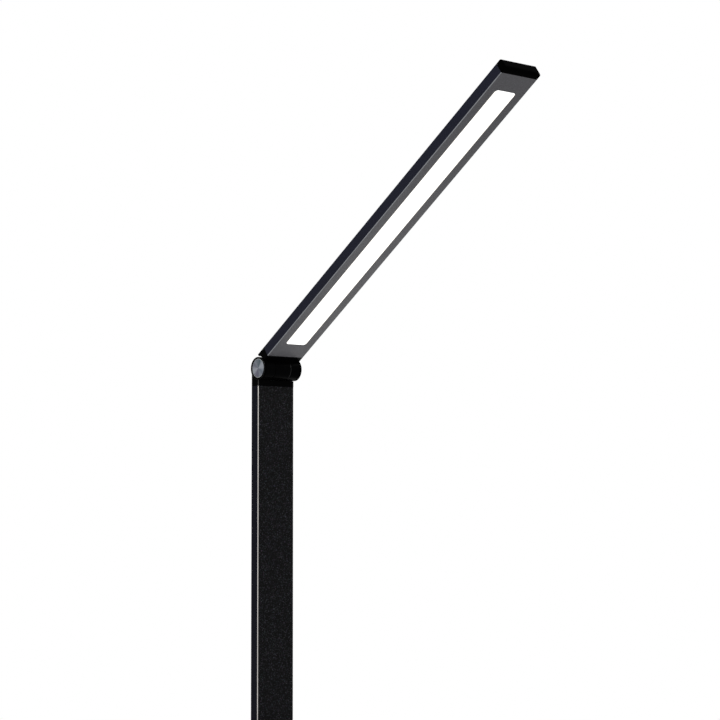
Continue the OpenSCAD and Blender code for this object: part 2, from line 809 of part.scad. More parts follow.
// Up the middle of the lower end, across the open end of the tube, and up to the right ear's seat
module arm_lead() {
    middle = arm_front + bar_t / 2;
    cross = arm_reach + arm_spigot + rib_relief / 2;
    color(lead_red) at_lower_axis() lead_run([
        [0, middle, axle_r + lead_d / 2],
        [0, middle, cross],
        [lead_x, middle, cross],
        [lead_x, middle, arm_len - seat_d / 2]
    ], lead_d);
}

module upper_axle() { color(steel) at_upper_axis() hinge_axle(); }
module upper_axle_nut() { color(steel) at_upper_axis() hinge_nut(); }
module upper_disc_spring() { color(steel) at_upper_axis() disc_spring(); }
module upper_friction_washers() { color(steel) at_upper_axis() friction_washers(); }
module upper_left_cap() { color(gloss_black) at_upper_axis() to_left() end_cap(); }
module upper_right_cap() { color(gloss_black) at_upper_axis() end_cap(); }
module upper_left_disc() { color(silver) at_upper_axis() to_left() end_disc(); }
module upper_right_disc() { color(silver) at_upper_axis() end_disc(); }

// ---------- Head, drawn upright on the upper axis, its lit side to the front ----------

module head_tube() {
    middle = head_front + bar_t / 2;
    color(dark_grey) at_head() difference() {
        translate([0, middle, head_reach]) linear_extrude(head_tube_end - head_reach) bar_outline();
        translate([0, middle, head_reach - eps]) linear_extrude(head_len)
            square([cavity_w, cavity_t], center = true);
        translate([0, 0, window_start + window_len / 2]) along_y(head_front - 1, middle)
            round_rect(window_w, window_len, window_r);
    }
}

module head_end() {
    color(gloss_black) at_head() knuckle_end(head_front, head_reach, head_spigot);
}

module tip_cap() {
    middle = head_front + bar_t / 2;
    spigot = head_tube_end - window_end - diffuser_lip - optic_gap;
    color(gloss_black) at_head() difference() {
        union() {
            translate([0, middle, head_tube_end]) tip_body();
            translate([0, middle, head_tube_end - spigot]) linear_extrude(spigot + eps)
                square([spigot_w, spigot_t], center = true);
        }
        translate([0, middle, head_tube_end - spigot - eps]) linear_extrude(spigot + tip_len - bar_wall)
            square([spigot_w - 2 * bar_wall, spigot_t - 2 * bar_wall], center = true);
    }
}

// Cap body: the bar's outline, closed by a round-edged end
module tip_body() {
    intersection() {
        linear_extrude(tip_len) bar_outline();
        along_y(-bar_t, bar_t) end_outline(bar_w / 2, tip_corner_r, tip_corner_r);
        along_x(-bar_w, bar_w) end_outline(bar_t / 2, tip_front_r, tip_back_r);
    }
}

// View of the cap's end across its length, with its two far corners rounded
module end_outline(half, left_r, right_r) {
    polygon([
        [-half, 0], [half, 0], [half, tip_len - right_r], [half - right_r, tip_len],
        [-half + left_r, tip_len], [-half, tip_len - left_r]
    ]);
    translate([-half + left_r, tip_len - left_r]) circle(left_r);
    translate([half - right_r, tip_len - right_r]) circle(right_r);
}

module diffuser() {
    color(opal) at_head() translate([0, 0, window_start + window_len / 2]) {
        along_y(inner_face, inner_face + diffuser_t) round_rect(diffuser_w, optic_len, window_r);
        along_y(head_front + window_recess, inner_face + eps)
            round_rect(window_w - 2 * window_gap, window_len - 2 * window_gap, window_r - window_gap);
    }
}

module light_guide() {
    color([0.85, 0.92, 0.95]) at_head() translate([-guide_w / 2, guide_face, optic_start])
        cube([guide_w, guide_t, optic_len]);
}

module reflector_sheet() {
    color([0.95, 0.95, 0.95]) at_head() translate([-guide_w / 2, reflector_face, optic_start])
        cube([guide_w, reflector_t, optic_len]);
}

module pressure_foam() {
    color([0.2, 0.2, 0.2]) at_head()
        translate([-guide_w / 2 + foam_inset, foam_face, optic_start + foam_inset])
        cube([guide_w - 2 * foam_inset, foam_t, optic_len - 2 * foam_inset]);
}

// Strip at the +X side of the light guide, its LEDs facing the guide's edge
module led_strip() {
    strip_h = foam_face - guide_face + strip_over;
    translate([strip_x, inner_face, optic_start]) cube([strip_t, strip_h, optic_len]);
    for (i = [0 : led_count - 1])
        translate([strip_x - led_h, guide_face + led_inset, window_start + (i + 0.5) * led_pitch - led_w / 2])
            cube([led_h + eps, guide_t - 2 * led_inset, led_w]);
}

module right_led_strip() { color(opal) at_head() led_strip(); }
module left_led_strip() { color(opal) at_head() to_left() led_strip(); }

// Up the middle of the head end, and to both strips across the open end of the tube
module head_lead() {
    middle = head_front + bar_t / 2;
    cross = optic_start - lead_room - lead_d / 2;
    reach = strip_x + strip_t / 2;
    color(lead_red) at_head() {
        lead_run([[0, middle, axle_r + lead_d / 2], [0, middle, cross]], lead_d);
        lead_run([[-reach, middle, cross], [reach, middle, cross]], lead_d);
    }
}

non_slip_pad();
base_plate();
ballast_plate();
base_cover();
cover_screws();
touch_panel();
control_board();
inlet_board();
supply_inlet();
base_lead();
hinge_bracket();
bracket_screws();
riser_lead();
lower_axle();
lower_axle_nut();
lower_disc_spring();
lower_friction_washers();
lower_left_cap();
lower_right_cap();
lower_left_disc();
lower_right_disc();
arm_tube();
arm_lower_end();
arm_upper_fork();
arm_screws();
arm_lead();
upper_axle();
upper_axle_nut();
upper_disc_spring();
upper_friction_washers();
upper_left_cap();
upper_right_cap();
upper_left_disc();
upper_right_disc();
head_tube();
head_end();
tip_cap();
diffuser();
light_guide();
reflector_sheet();
pressure_foam();
left_led_strip();
right_led_strip();
head_lead();
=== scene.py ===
# Folding LED desk lamp: finishes, modelled pieces, studio and camera.
# Sizes of the lamp are in millimetres, places of camera and lights in metres.
import json
import math

import bmesh
import bpy
from mathutils import Matrix, Vector


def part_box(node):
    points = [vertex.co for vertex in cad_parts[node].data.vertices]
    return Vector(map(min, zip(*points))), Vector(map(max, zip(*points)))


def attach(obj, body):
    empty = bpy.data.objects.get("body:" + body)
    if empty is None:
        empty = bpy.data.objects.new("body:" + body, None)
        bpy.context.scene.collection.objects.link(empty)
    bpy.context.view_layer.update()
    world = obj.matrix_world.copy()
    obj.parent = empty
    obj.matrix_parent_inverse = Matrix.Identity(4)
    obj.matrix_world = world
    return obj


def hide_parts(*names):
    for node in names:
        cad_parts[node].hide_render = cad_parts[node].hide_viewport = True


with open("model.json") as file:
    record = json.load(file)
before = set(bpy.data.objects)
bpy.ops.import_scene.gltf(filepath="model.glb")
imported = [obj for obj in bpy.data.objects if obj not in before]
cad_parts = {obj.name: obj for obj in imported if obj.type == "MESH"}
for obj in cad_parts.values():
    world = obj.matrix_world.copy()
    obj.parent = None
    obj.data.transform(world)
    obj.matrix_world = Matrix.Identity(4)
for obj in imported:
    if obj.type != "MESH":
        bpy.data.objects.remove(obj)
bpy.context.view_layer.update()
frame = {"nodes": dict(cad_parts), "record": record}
nodes = frame["nodes"]
mm = 0.001
over = 1  # millimetres that a cutter or a fused block reaches past a face

bar = {"width": 40, "thick": 9.6, "wall": 1.2, "edge": 0.5, "armReach": 15.4, "headReach": 16.4,
       "headEnd": 368.2}
hinge = {"radius": 9.9, "length": 41.8, "capWidth": 2.6, "knuckle": 16, "washer": 0.65, "capGap": 0.2,
         "rim": 0.25, "bore": 4.05, "foldGap": 1.4}
hinge["earOut"] = hinge["length"] / 2 - hinge["capWidth"]
hinge["earIn"] = hinge["knuckle"] / 2 + hinge["washer"]
joints = {j["name"]: Vector(j["pos_m"]) for j in frame["record"]["behaviour"]["joints"]}
lowerPlace = Matrix.Translation(joints["arm_tilt"])
upperPlace = Matrix.Translation(joints["head_tilt"])
headRise = 35
headPlace = upperPlace @ Matrix.Rotation(math.radians(90 - headRise), 4, "X")
armFront = hinge["radius"] - bar["thick"]
headFront = hinge["foldGap"] - armFront
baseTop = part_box("base_cover")[1][2] / mm


def deselectAll():
    if bpy.context.mode != "OBJECT":
        bpy.ops.object.mode_set(mode="OBJECT")
    bpy.ops.object.select_all(action="DESELECT")


def activate(obj):
    deselectAll()
    obj.select_set(True)
    bpy.context.view_layer.objects.active = obj


def bakePlace(obj):
    activate(obj)
    bpy.ops.object.transform_apply(location=True, rotation=True, scale=True)


def addBlock(name, low, high):
    deselectAll()
    centre = [(a + b) / 2 * mm for a, b in zip(low, high)]
    bpy.ops.mesh.primitive_cube_add(size=1, location=centre)
    obj = bpy.context.active_object
    obj.name = name
    obj.scale = [(b - a) * mm for a, b in zip(low, high)]
    bakePlace(obj)
    return obj


def addRod(name, radius, start, end, axis="X", centre=(0, 0), sides=96):
    deselectAll()
    middle = (start + end) / 2 * mm
    a, b = centre[0] * mm, centre[1] * mm
    places = {"X": ((middle, a, b), (0, math.pi / 2, 0)), "Y": ((a, middle, b), (math.pi / 2, 0, 0)),
              "Z": ((a, b, middle), (0, 0, 0))}
    place, turn = places[axis]
    bpy.ops.mesh.primitive_cylinder_add(vertices=sides, radius=radius * mm, depth=(end - start) * mm,
                                        location=place, rotation=turn)
    obj = bpy.context.active_object
    obj.name = name
    bakePlace(obj)
    return obj


def pick(obj, kind, test):
    # leaves obj in edit mode with the edges or faces that pass the test selected
    activate(obj)
    bpy.ops.object.mode_set(mode="EDIT")
    bpy.ops.mesh.select_mode(type=kind)
    bpy.ops.mesh.select_all(action="DESELECT")
    mesh = bmesh.from_edit_mesh(obj.data)
    for item in (mesh.edges if kind == "EDGE" else mesh.faces):
        if test(item):
            item.select_set(True)
    mesh.select_flush_mode()
    bmesh.update_edit_mesh(obj.data)


def edgeMiddle(edge):
    return (edge.verts[0].co + edge.verts[1].co) / 2 / mm


def runsAlong(edge, axis):
    step = edge.verts[1].co - edge.verts[0].co
    return abs(step[axis]) > 0.999 * step.length


def isNear(value, wanted):
    return abs(value - wanted) < 0.01


def bevelEdges(obj, test, width, segments):
    pick(obj, "EDGE", test)
    bpy.ops.mesh.bevel(offset=width * mm, segments=segments, affect="EDGES")
    deselectAll()


def combine(target, tool, operation):
    activate(target)
    change = target.modifiers.new("combine", "BOOLEAN")
    change.operation = operation
    change.solver = "EXACT"
    change.object = tool
    bpy.ops.object.modifier_apply(modifier=change.name)
    bpy.data.objects.remove(tool)


def cut(target, tool):
    combine(target, tool, "DIFFERENCE")


def fuse(target, tool):
    combine(target, tool, "UNION")


def softenEdges(obj, width, segments=2, angle=32):
    activate(obj)
    bevel = obj.modifiers.new("soften", "BEVEL")
    bevel.width = width * mm
    bevel.segments = segments
    bevel.limit_method = "ANGLE"
    bevel.angle_limit = math.radians(angle)
    bevel.harden_normals = False
    bpy.ops.object.modifier_apply(modifier=bevel.name)


def smoothShade(obj, angle=30):
    # large flat faces keep an even shade next to their rounded edges
    activate(obj)
    bpy.ops.object.shade_smooth_by_angle(angle=math.radians(angle))
    even = obj.modifiers.new("even", "WEIGHTED_NORMAL")
    even.keep_sharp = True
    bpy.ops.object.modifier_apply(modifier=even.name)


def settle(obj, place, body, looks):
    # bakes the place into the mesh, then gives the piece its finishes and its body
    obj.matrix_world = place @ obj.matrix_world
    bakePlace(obj)
    for look in looks:
        obj.data.materials.append(finish[look])
    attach(obj, body)
    return obj


def markFaces(obj, index, test):
    for face in obj.data.polygons:
        if test(face):
            face.material_index = index


def copyPiece(obj, name, place):
    twin = obj.copy()
    twin.data = obj.data.copy()
    twin.name = name
    bpy.context.collection.objects.link(twin)
    twin.matrix_world = place
    return twin


def newGroup(name, inputs, outputs):
    group = bpy.data.node_groups.new(name, "ShaderNodeTree")
    for label, kind, value in inputs:
        socket = group.interface.new_socket(label, in_out="INPUT", socket_type=kind)
        if value is not None:
            socket.default_value = value
    for label, kind in outputs:
        group.interface.new_socket(label, in_out="OUTPUT", socket_type=kind)
    start = group.nodes.new("NodeGroupInput")
    end = group.nodes.new("NodeGroupOutput")
    return group, start, end


def mathNode(tree, operation, first, second=None, clamp=False):
    node = tree.nodes.new("ShaderNodeMath")
    node.operation = operation
    node.use_clamp = clamp
    for index, value in enumerate((first, second)):
        if value is None:
            continue
        if isinstance(value, (int, float)):
            node.inputs[index].default_value = value
        else:
            tree.links.new(value, node.inputs[index])
    return node.outputs[0]


def makeSpeckleGroup():
    # bright grains scattered over a fine blasted surface
    group, start, end = newGroup(
        "speckle",
        [("Vector", "NodeSocketVector", None), ("Grain Scale", "NodeSocketFloat", 1200.0),
         ("Cover", "NodeSocketFloat", 0.3)],
        [("Mask", "NodeSocketFloat"), ("Height", "NodeSocketFloat"), ("Hue", "NodeSocketColor")])
    cells = group.nodes.new("ShaderNodeTexVoronoi")
    cells.feature = "F1"
    split = group.nodes.new("ShaderNodeSeparateColor")
    hue = group.nodes.new("ShaderNodeCombineColor")
    fine = group.nodes.new("ShaderNodeTexNoise")
    fine.inputs["Detail"].default_value = 3
    fineRatio = 2.3
    links = group.links
    for node in (cells, fine):
        links.new(start.outputs["Vector"], node.inputs["Vector"])
    links.new(start.outputs["Grain Scale"], cells.inputs["Scale"])
    links.new(mathNode(group, "MULTIPLY", start.outputs["Grain Scale"], fineRatio), fine.inputs["Scale"])
    links.new(cells.outputs["Color"], split.inputs["Color"])
    lowEnd = mathNode(group, "SUBTRACT", 1.0, start.outputs["Cover"])
    above = mathNode(group, "SUBTRACT", split.outputs["Red"], lowEnd)
    grains = mathNode(group, "DIVIDE", above, start.outputs["Cover"], clamp=True)
    links.new(mathNode(group, "MULTIPLY", grains, fine.outputs["Fac"], clamp=True), end.inputs["Mask"])
    links.new(fine.outputs["Fac"], end.inputs["Height"])
    for first, second in (("Red", "Green"), ("Green", "Blue"), ("Blue", "Red")):
        tint = mathNode(group, "MULTIPLY", split.outputs[second], 0.5)
        links.new(mathNode(group, "ADD", tint, 0.5), hue.inputs[first])
    links.new(hue.outputs["Color"], end.inputs["Hue"])
    return group


def makeMottleGroup():
    # slow, soft variation that keeps a large surface from looking printed
    group, start, end = newGroup(
        "mottle",
        [("Vector", "NodeSocketVector", None), ("Scale", "NodeSocketFloat", 30.0),
         ("Low", "NodeSocketFloat", 0.4), ("High", "NodeSocketFloat", 0.5)],
        [("Value", "NodeSocketFloat")])
    noise = group.nodes.new("ShaderNodeTexNoise")
    noise.inputs["Detail"].default_value = 4
    spread = group.nodes.new("ShaderNodeMapRange")
    links = group.links
    links.new(start.outputs["Vector"], noise.inputs["Vector"])
    links.new(start.outputs["Scale"], noise.inputs["Scale"])
    links.new(noise.outputs["Fac"], spread.inputs["Value"])
    spread.inputs["From Min"].default_value = 0.3
    spread.inputs["From Max"].default_value = 0.7
    links.new(start.outputs["Low"], spread.inputs["To Min"])
    links.new(start.outputs["High"], spread.inputs["To Max"])
    links.new(spread.outputs["Result"], end.inputs["Value"])
    return group


speckleGroup = makeSpeckleGroup()
mottleGroup = makeMottleGroup()


def newMaterial(name, values):
    material = bpy.data.materials.new(name)
    material.use_nodes = True
    tree = material.node_tree
    shader = tree.nodes["Principled BSDF"]
    for label, value in values.items():
        shader.inputs[label].default_value = value
    coords = tree.nodes.new("ShaderNodeTexCoord")
    return material, tree, shader, coords.outputs["Object"]


def useGroup(tree, group, vector, values):
    node = tree.nodes.new("ShaderNodeGroup")
    node.node_tree = group
    tree.links.new(vector, node.inputs["Vector"])
    for label, value in values.items():
        node.inputs[label].default_value = value
    return node


def mixColours(tree, factor, first, second, socket):
    mix = tree.nodes.new("ShaderNodeMix")
    mix.data_type = "RGBA"
    mix.inputs["A"].default_value = (*first, 1)
    mix.inputs["B"].default_value = (*second, 1)
    tree.links.new(factor, mix.inputs["Factor"])
    tree.links.new(mix.outputs["Result"], socket)
    return mix


def addBump(tree, shader, height, strength, distance):
    bump = tree.nodes.new("ShaderNodeBump")
    bump.inputs["Strength"].default_value = strength
    bump.inputs["Distance"].default_value = distance * mm
    tree.links.new(height, bump.inputs["Height"])
    tree.links.new(bump.outputs["Normal"], shader.inputs["Normal"])


def plainFinish(name, colour, lighter, values, scale=60, roughness=(0.4, 0.5), bump=None):
    # a colour that drifts a little, with uneven roughness and an optional fine grain
    material, tree, shader, coords = newMaterial(name, values)
    tone = useGroup(tree, mottleGroup, coords, {"Scale": scale, "Low": 0.0, "High": 1.0})
    mixColours(tree, tone.outputs["Value"], colour, lighter, shader.inputs["Base Color"])
    fineRatio = 2.7
    finer = {"Scale": scale * fineRatio, "Low": roughness[0], "High": roughness[1]}
    rough = useGroup(tree, mottleGroup, coords, finer)
    tree.links.new(rough.outputs["Value"], shader.inputs["Roughness"])
    if bump:
        grain = useGroup(tree, speckleGroup, coords, {"Grain Scale": bump["scale"], "Cover": 0.5})
        addBump(tree, shader, grain.outputs["Height"], bump["strength"], bump["depth"])
    return material


def makeAnodised(name, look):
    # dyed, blasted aluminium with scattered bright grains, each of a slightly different hue
    material, tree, shader, coords = newMaterial(name, {"Specular IOR Level": look["specular"]})
    grains = {"Grain Scale": look["grainScale"], "Cover": look["cover"]}
    grain = useGroup(tree, speckleGroup, coords, grains)
    tinted = tree.nodes.new("ShaderNodeMix")
    tinted.data_type = "RGBA"
    tinted.blend_type = "MULTIPLY"
    tinted.inputs["Factor"].default_value = look["hue"]
    tinted.inputs["A"].default_value = (*look["light"], 1)
    tree.links.new(grain.outputs["Hue"], tinted.inputs["B"])
    tone = mixColours(tree, grain.outputs["Mask"], look["dark"], look["light"], shader.inputs["Base Color"])
    tree.links.new(tinted.outputs["Result"], tone.inputs["B"])
    spread = {"Scale": 45, "Low": look["rough"][0], "High": look["rough"][1]}
    rough = useGroup(tree, mottleGroup, coords, spread)
    tree.links.new(rough.outputs["Value"], shader.inputs["Roughness"])
    grainDepth = 0.03
    addBump(tree, shader, grain.outputs["Height"], look["bump"], grainDepth)
    return material


def addSheenWedges(tree, turn, count, start, strength):
    # painted highlight wedges round the middle, evenly spread, the first at the start angle
    phase = mathNode(tree, "SUBTRACT", mathNode(tree, "MULTIPLY", turn, count), math.radians(start * count))
    return mathNode(tree, "MULTIPLY", mathNode(tree, "COSINE", phase), strength)


def makeSpun(name):
    # turned face: rings from the tool in roughness and bump, and light and dark wedges round the middle with
    # a green to violet hue, painted reflections in the colour (UV map)
    look = {"light": (0.25, 0.265, 0.295), "green": (0.070, 0.098, 0.112), "violet": (0.092, 0.086, 0.122),
            "greenSide": 140, "sheenPairs": 0.4, "pairStart": 165, "sheenCrosses": 0.3, "crossStart": 158,
            "uneven": 0.6, "wedgeScale": 2.2, "ringScale": 46, "ringBump": 0.25, "ringDepth": 0.02,
            "rough": (0.2, 0.36)}
    material, tree, shader, _ = newMaterial(name, {"Metallic": 1.0, "Anisotropic": 0.7})
    uv = tree.nodes.new("ShaderNodeUVMap")
    uv.uv_map = "turned"
    split = tree.nodes.new("ShaderNodeSeparateXYZ")
    tree.links.new(uv.outputs["UV"], split.inputs["Vector"])
    rings = tree.nodes.new("ShaderNodeTexNoise")
    rings.noise_dimensions = "1D"
    rings.inputs["Scale"].default_value = look["ringScale"]
    rings.inputs["Detail"].default_value = 3
    tree.links.new(split.outputs["Y"], rings.inputs["W"])
    wedges = tree.nodes.new("ShaderNodeTexNoise")
    wedges.noise_dimensions = "2D"
    wedges.inputs["Scale"].default_value = look["wedgeScale"]
    wedges.inputs["Detail"].default_value = 1.0
    turn = mathNode(tree, "MULTIPLY", split.outputs["X"], 2 * math.pi)
    around = tree.nodes.new("ShaderNodeCombineXYZ")
    tree.links.new(mathNode(tree, "COSINE", turn), around.inputs["X"])
    tree.links.new(mathNode(tree, "SINE", turn), around.inputs["Y"])
    tree.links.new(around.outputs["Vector"], wedges.inputs["Vector"])
    tone = mathNode(tree, "MULTIPLY", wedges.outputs["Fac"], look["uneven"])
    tone = mathNode(tree, "ADD", tone, 0.5 - look["uneven"] / 2)
    # painted reflection: two and four light wedges, and a green to violet hue round the face
    sheenPairs = addSheenWedges(tree, turn, 2, look["pairStart"], look["sheenPairs"])
    sheenCrosses = addSheenWedges(tree, turn, 4, look["crossStart"], look["sheenCrosses"])
    tone = mathNode(tree, "ADD", mathNode(tree, "ADD", tone, sheenPairs), sheenCrosses, clamp=True)
    side = mathNode(tree, "ADD", addSheenWedges(tree, turn, 1, look["greenSide"], 0.5), 0.5)
    base = mixColours(tree, tone, look["green"], look["light"], shader.inputs["Base Color"])
    mixColours(tree, side, look["violet"], look["green"], base.inputs["A"])
    rough = tree.nodes.new("ShaderNodeMapRange")
    rough.inputs["To Min"].default_value, rough.inputs["To Max"].default_value = look["rough"]
    tree.links.new(rings.outputs["Fac"], rough.inputs["Value"])
    tree.links.new(rough.outputs["Result"], shader.inputs["Roughness"])
    addBump(tree, shader, rings.outputs["Fac"], look["ringBump"], look["ringDepth"])
    return material


def makeDiffuser(name):
    # lit opal sheet that dims a little, and grows warmer, towards its edges
    look = {"middle": (1.0, 0.995, 0.985), "rim": (0.84, 0.78, 0.70), "halfWidth": 11.1, "fade": 1.6}
    values = {"Roughness": 0.35, "Emission Strength": 1.25, "Base Color": (0.2, 0.2, 0.19, 1)}
    material, tree, shader, coords = newMaterial(name, values)
    split = tree.nodes.new("ShaderNodeSeparateXYZ")
    tree.links.new(coords, split.inputs["Vector"])
    side = mathNode(tree, "ABSOLUTE", split.outputs["X"])
    edge = tree.nodes.new("ShaderNodeMapRange")
    edge.inputs["From Min"].default_value = (look["halfWidth"] - look["fade"]) * mm
    edge.inputs["From Max"].default_value = look["halfWidth"] * mm
    tree.links.new(side, edge.inputs["Value"])
    mixColours(tree, edge.outputs["Result"], look["middle"], look["rim"], shader.inputs["Emission Color"])
    return material


finish = {
    "arm": makeAnodised("armAnodised", {
        "dark": (0.0025, 0.0025, 0.0026), "light": (0.066, 0.067, 0.068), "specular": 0.03,
        "grainScale": 1750, "cover": 0.20, "hue": 0.9, "rough": (0.44, 0.52), "bump": 0.35}),
    # the head's front takes a lighter grey copy of the black anodised finish: painted light
    "head": makeAnodised("headLitAnodised", {
        "dark": (0.041, 0.040, 0.045), "light": (0.072, 0.071, 0.078), "specular": 0.2,
        "grainScale": 1500, "cover": 0.5, "hue": 0.35, "rough": (0.38, 0.48), "bump": 0.2}),
    # the arm's sides take a darker, bluer copy of the arm's finish: painted shade
    "armSideShade": makeAnodised("armSideShadedAnodised", {
        "dark": (0.0022, 0.0024, 0.0056), "light": (0.010, 0.011, 0.018), "specular": 0.03,
        "grainScale": 1500, "cover": 0.4, "hue": 0.4, "rough": (0.42, 0.55), "bump": 0.2}),
    # the head's sides take a darker copy of the head's finish: painted shade
    "headSideShade": makeAnodised("headSideShadedAnodised", {
        "dark": (0.0096, 0.0104, 0.0180), "light": (0.018, 0.019, 0.030), "specular": 0.03,
        "grainScale": 1500, "cover": 0.4, "hue": 0.4, "rough": (0.42, 0.55), "bump": 0.2}),
    "back": makeAnodised("backAnodised", {
        "dark": (0.0033, 0.0034, 0.0036), "light": (0.060, 0.061, 0.063), "specular": 0.05,
        "grainScale": 1750, "cover": 0.20, "hue": 0.9, "rough": (0.47, 0.51), "bump": 0.35}),
    # the bevelled corners along the front of arm and head take a painted highlight, light and metallic on
    # the black finish
    "armEdgeHighlight": plainFinish("armEdgePaintedHighlight", (0.46, 0.44, 0.42), (0.56, 0.54, 0.51), {"Metallic": 0.6},
                           scale=90, roughness=(0.25, 0.35)),
    "headEdgeHighlight": plainFinish("headEdgePaintedHighlight", (0.165, 0.172, 0.185), (0.215, 0.222, 0.235), {"Metallic": 0.5},
                            scale=90, roughness=(0.25, 0.35)),
    "lacquer": plainFinish("blackLacquer", (0.0006, 0.0006, 0.0007), (0.0009, 0.0009, 0.0010),
                           {"Specular IOR Level": 0.006}, scale=50, roughness=(0.12, 0.2)),
    "gloss": plainFinish("blackGloss", (0.0005, 0.0005, 0.0006), (0.0008, 0.0008, 0.0009),
                         {"Specular IOR Level": 0.002}, scale=70, roughness=(0.1, 0.18)),
    "seam": plainFinish("glossSeam", (0.001, 0.001, 0.001), (0.0014, 0.0014, 0.0014),
                        {"Specular IOR Level": 0.35}, scale=50, roughness=(0.16, 0.22)),
    # a faint painted highlight for the upper fork's bevelled front corners
    "forkEdgeHighlight": plainFinish("forkEdgePaintedHighlight", (0.046, 0.044, 0.042), (0.056, 0.054, 0.051), {"Metallic": 0.5},
                            scale=90, roughness=(0.25, 0.35)),
    "spun": makeSpun("spunAluminium"),
    # a painted highlight round the disc's outer rim
    "discRimHighlight": plainFinish("discRimPaintedHighlight", (0.44, 0.46, 0.43), (0.54, 0.56, 0.53), {"Metallic": 1.0},
                           scale=90, roughness=(0.3, 0.4)),
    "diffuser": makeDiffuser("litOpal"),
    "cover": plainFinish("coverPlastic", (0.006, 0.006, 0.007), (0.010, 0.010, 0.011),
                         {"Specular IOR Level": 0.15}, scale=25, roughness=(0.45, 0.49),
                         bump={"scale": 1600, "strength": 0.25, "depth": 0.03}),
    "panel": plainFinish("panelGloss", (0.002, 0.002, 0.0025), (0.003, 0.003, 0.0035),
                         {"Specular IOR Level": 0.4}, scale=18, roughness=(0.05, 0.09)),
    "print": plainFinish("printedMark", (0.42, 0.43, 0.44), (0.5, 0.5, 0.51), {}, scale=400,
                         roughness=(0.5, 0.6)),
    "pad": plainFinish("padSilicone", (0.012, 0.012, 0.012), (0.02, 0.02, 0.02),
                       {"Specular IOR Level": 0.25}, scale=40, roughness=(0.7, 0.85),
                       bump={"scale": 500, "strength": 0.5, "depth": 0.15}),
    "steel": plainFinish("platedSteel", (0.42, 0.43, 0.45), (0.52, 0.53, 0.55), {"Metallic": 1.0},
                         scale=160, roughness=(0.25, 0.4)),
    "blackSteel": plainFinish("blackOxide", (0.012, 0.012, 0.013), (0.03, 0.03, 0.031),
                              {"Metallic": 0.8}, scale=220, roughness=(0.35, 0.5)),
    "iron": plainFinish("castIron", (0.035, 0.035, 0.037), (0.07, 0.07, 0.07), {"Metallic": 0.7}, scale=80,
                        roughness=(0.55, 0.75), bump={"scale": 700, "strength": 0.5, "depth": 0.1}),
    "board": plainFinish("circuitBoard", (0.006, 0.06, 0.025), (0.01, 0.09, 0.04), {}, scale=120,
                         roughness=(0.3, 0.45)),
    "whiteBoard": plainFinish("whiteBoard", (0.72, 0.72, 0.70), (0.8, 0.8, 0.78), {}, scale=120,
                              roughness=(0.35, 0.5)),
    "inlet": plainFinish("inletPlastic", (0.008, 0.008, 0.008), (0.014, 0.014, 0.014), {}, scale=140,
                         roughness=(0.4, 0.55)),
    "brass": plainFinish("contactBrass", (0.5, 0.36, 0.16), (0.6, 0.45, 0.22), {"Metallic": 1.0}, scale=300,
                         roughness=(0.22, 0.34)),
    "sheath": plainFinish("leadSheath", (0.2, 0.008, 0.008), (0.28, 0.015, 0.012), {}, scale=200,
                          roughness=(0.45, 0.6)),
    "acrylic": plainFinish("clearAcrylic", (0.86, 0.92, 0.94), (0.9, 0.95, 0.96),
                           {"Transmission Weight": 0.8}, scale=60, roughness=(0.05, 0.1)),
    "film": plainFinish("whiteFilm", (0.85, 0.85, 0.85), (0.9, 0.9, 0.9), {}, scale=60,
                        roughness=(0.4, 0.5)),
    "foam": plainFinish("openFoam", (0.02, 0.02, 0.02), (0.04, 0.04, 0.04), {}, scale=300,
                        roughness=(0.85, 0.95), bump={"scale": 900, "strength": 0.6, "depth": 0.2}),
}
print("finishes ready:", len(finish))


def bevelBarEdges(obj, front):
    # cut corners along the front, rounded ones along the back
    back = front + bar["thick"]
    bevelEdges(obj, lambda e: runsAlong(e, 2) and isNear(edgeMiddle(e).y, front), bar["edge"], 1)
    bevelEdges(obj, lambda e: runsAlong(e, 2) and isNear(edgeMiddle(e).y, back), bar["edge"], 4)


def makeTube(name, low, high, front):
    half = bar["width"] / 2
    tube = addBlock(name, (-half, front, low), (half, front + bar["thick"], high))
    bevelBarEdges(tube, front)
    pick(tube, "FACE", lambda f: abs(f.normal.z) > 0.9)
    bpy.ops.mesh.inset(thickness=bar["wall"] * mm)
    bpy.ops.mesh.bridge_edge_loops()
    deselectAll()
    return tube


def markBarFaces(tube):
    # the sides take the second finish, a darker copy with painted shade, the cut corners along the front the
    # third, a painted highlight, and the back the fourth
    markFaces(tube, 1, lambda f: abs(f.normal.x) > 0.95)
    markFaces(tube, 2, lambda f: abs(f.normal.x) > 0.6 and f.normal.y < -0.6)
    markFaces(tube, 3, lambda f: f.normal.y > 0.25)


def dressArm():
    spec = {"holeX": 11, "holeInset": 12, "holeRadius": 1.25, "sinkRadius": 2.475, "sinkDepth": 1.125,
            "sinkLift": 0.01}
    bottom = bar["armReach"]
    top = (joints["head_tilt"] - joints["arm_tilt"]).z / mm - bar["armReach"]
    back = armFront + bar["thick"]
    tube = makeTube("armTube", bottom, top, armFront)
    taper = spec["holeRadius"] / spec["sinkRadius"]
    holes = [(x, z) for x in (-spec["holeX"], spec["holeX"])
             for z in (bottom + spec["holeInset"], top - spec["holeInset"])]
    for x, z in holes:
        cone = addRod("sink", spec["sinkRadius"], back - spec["sinkDepth"], back + spec["sinkLift"],
                      axis="Y", centre=(x, z), sides=32)
        pick(cone, "FACE", lambda f: f.normal.y < -0.9)
        bpy.ops.transform.resize(value=(taper, 1, taper), center_override=(x * mm, 0, z * mm))
        cut(tube, cone)
    markBarFaces(tube)
    smoothShade(tube, 25)
    settle(tube, lowerPlace, "arm", ("arm", "armSideShade", "armEdgeHighlight", "back"))
    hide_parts("arm_tube")


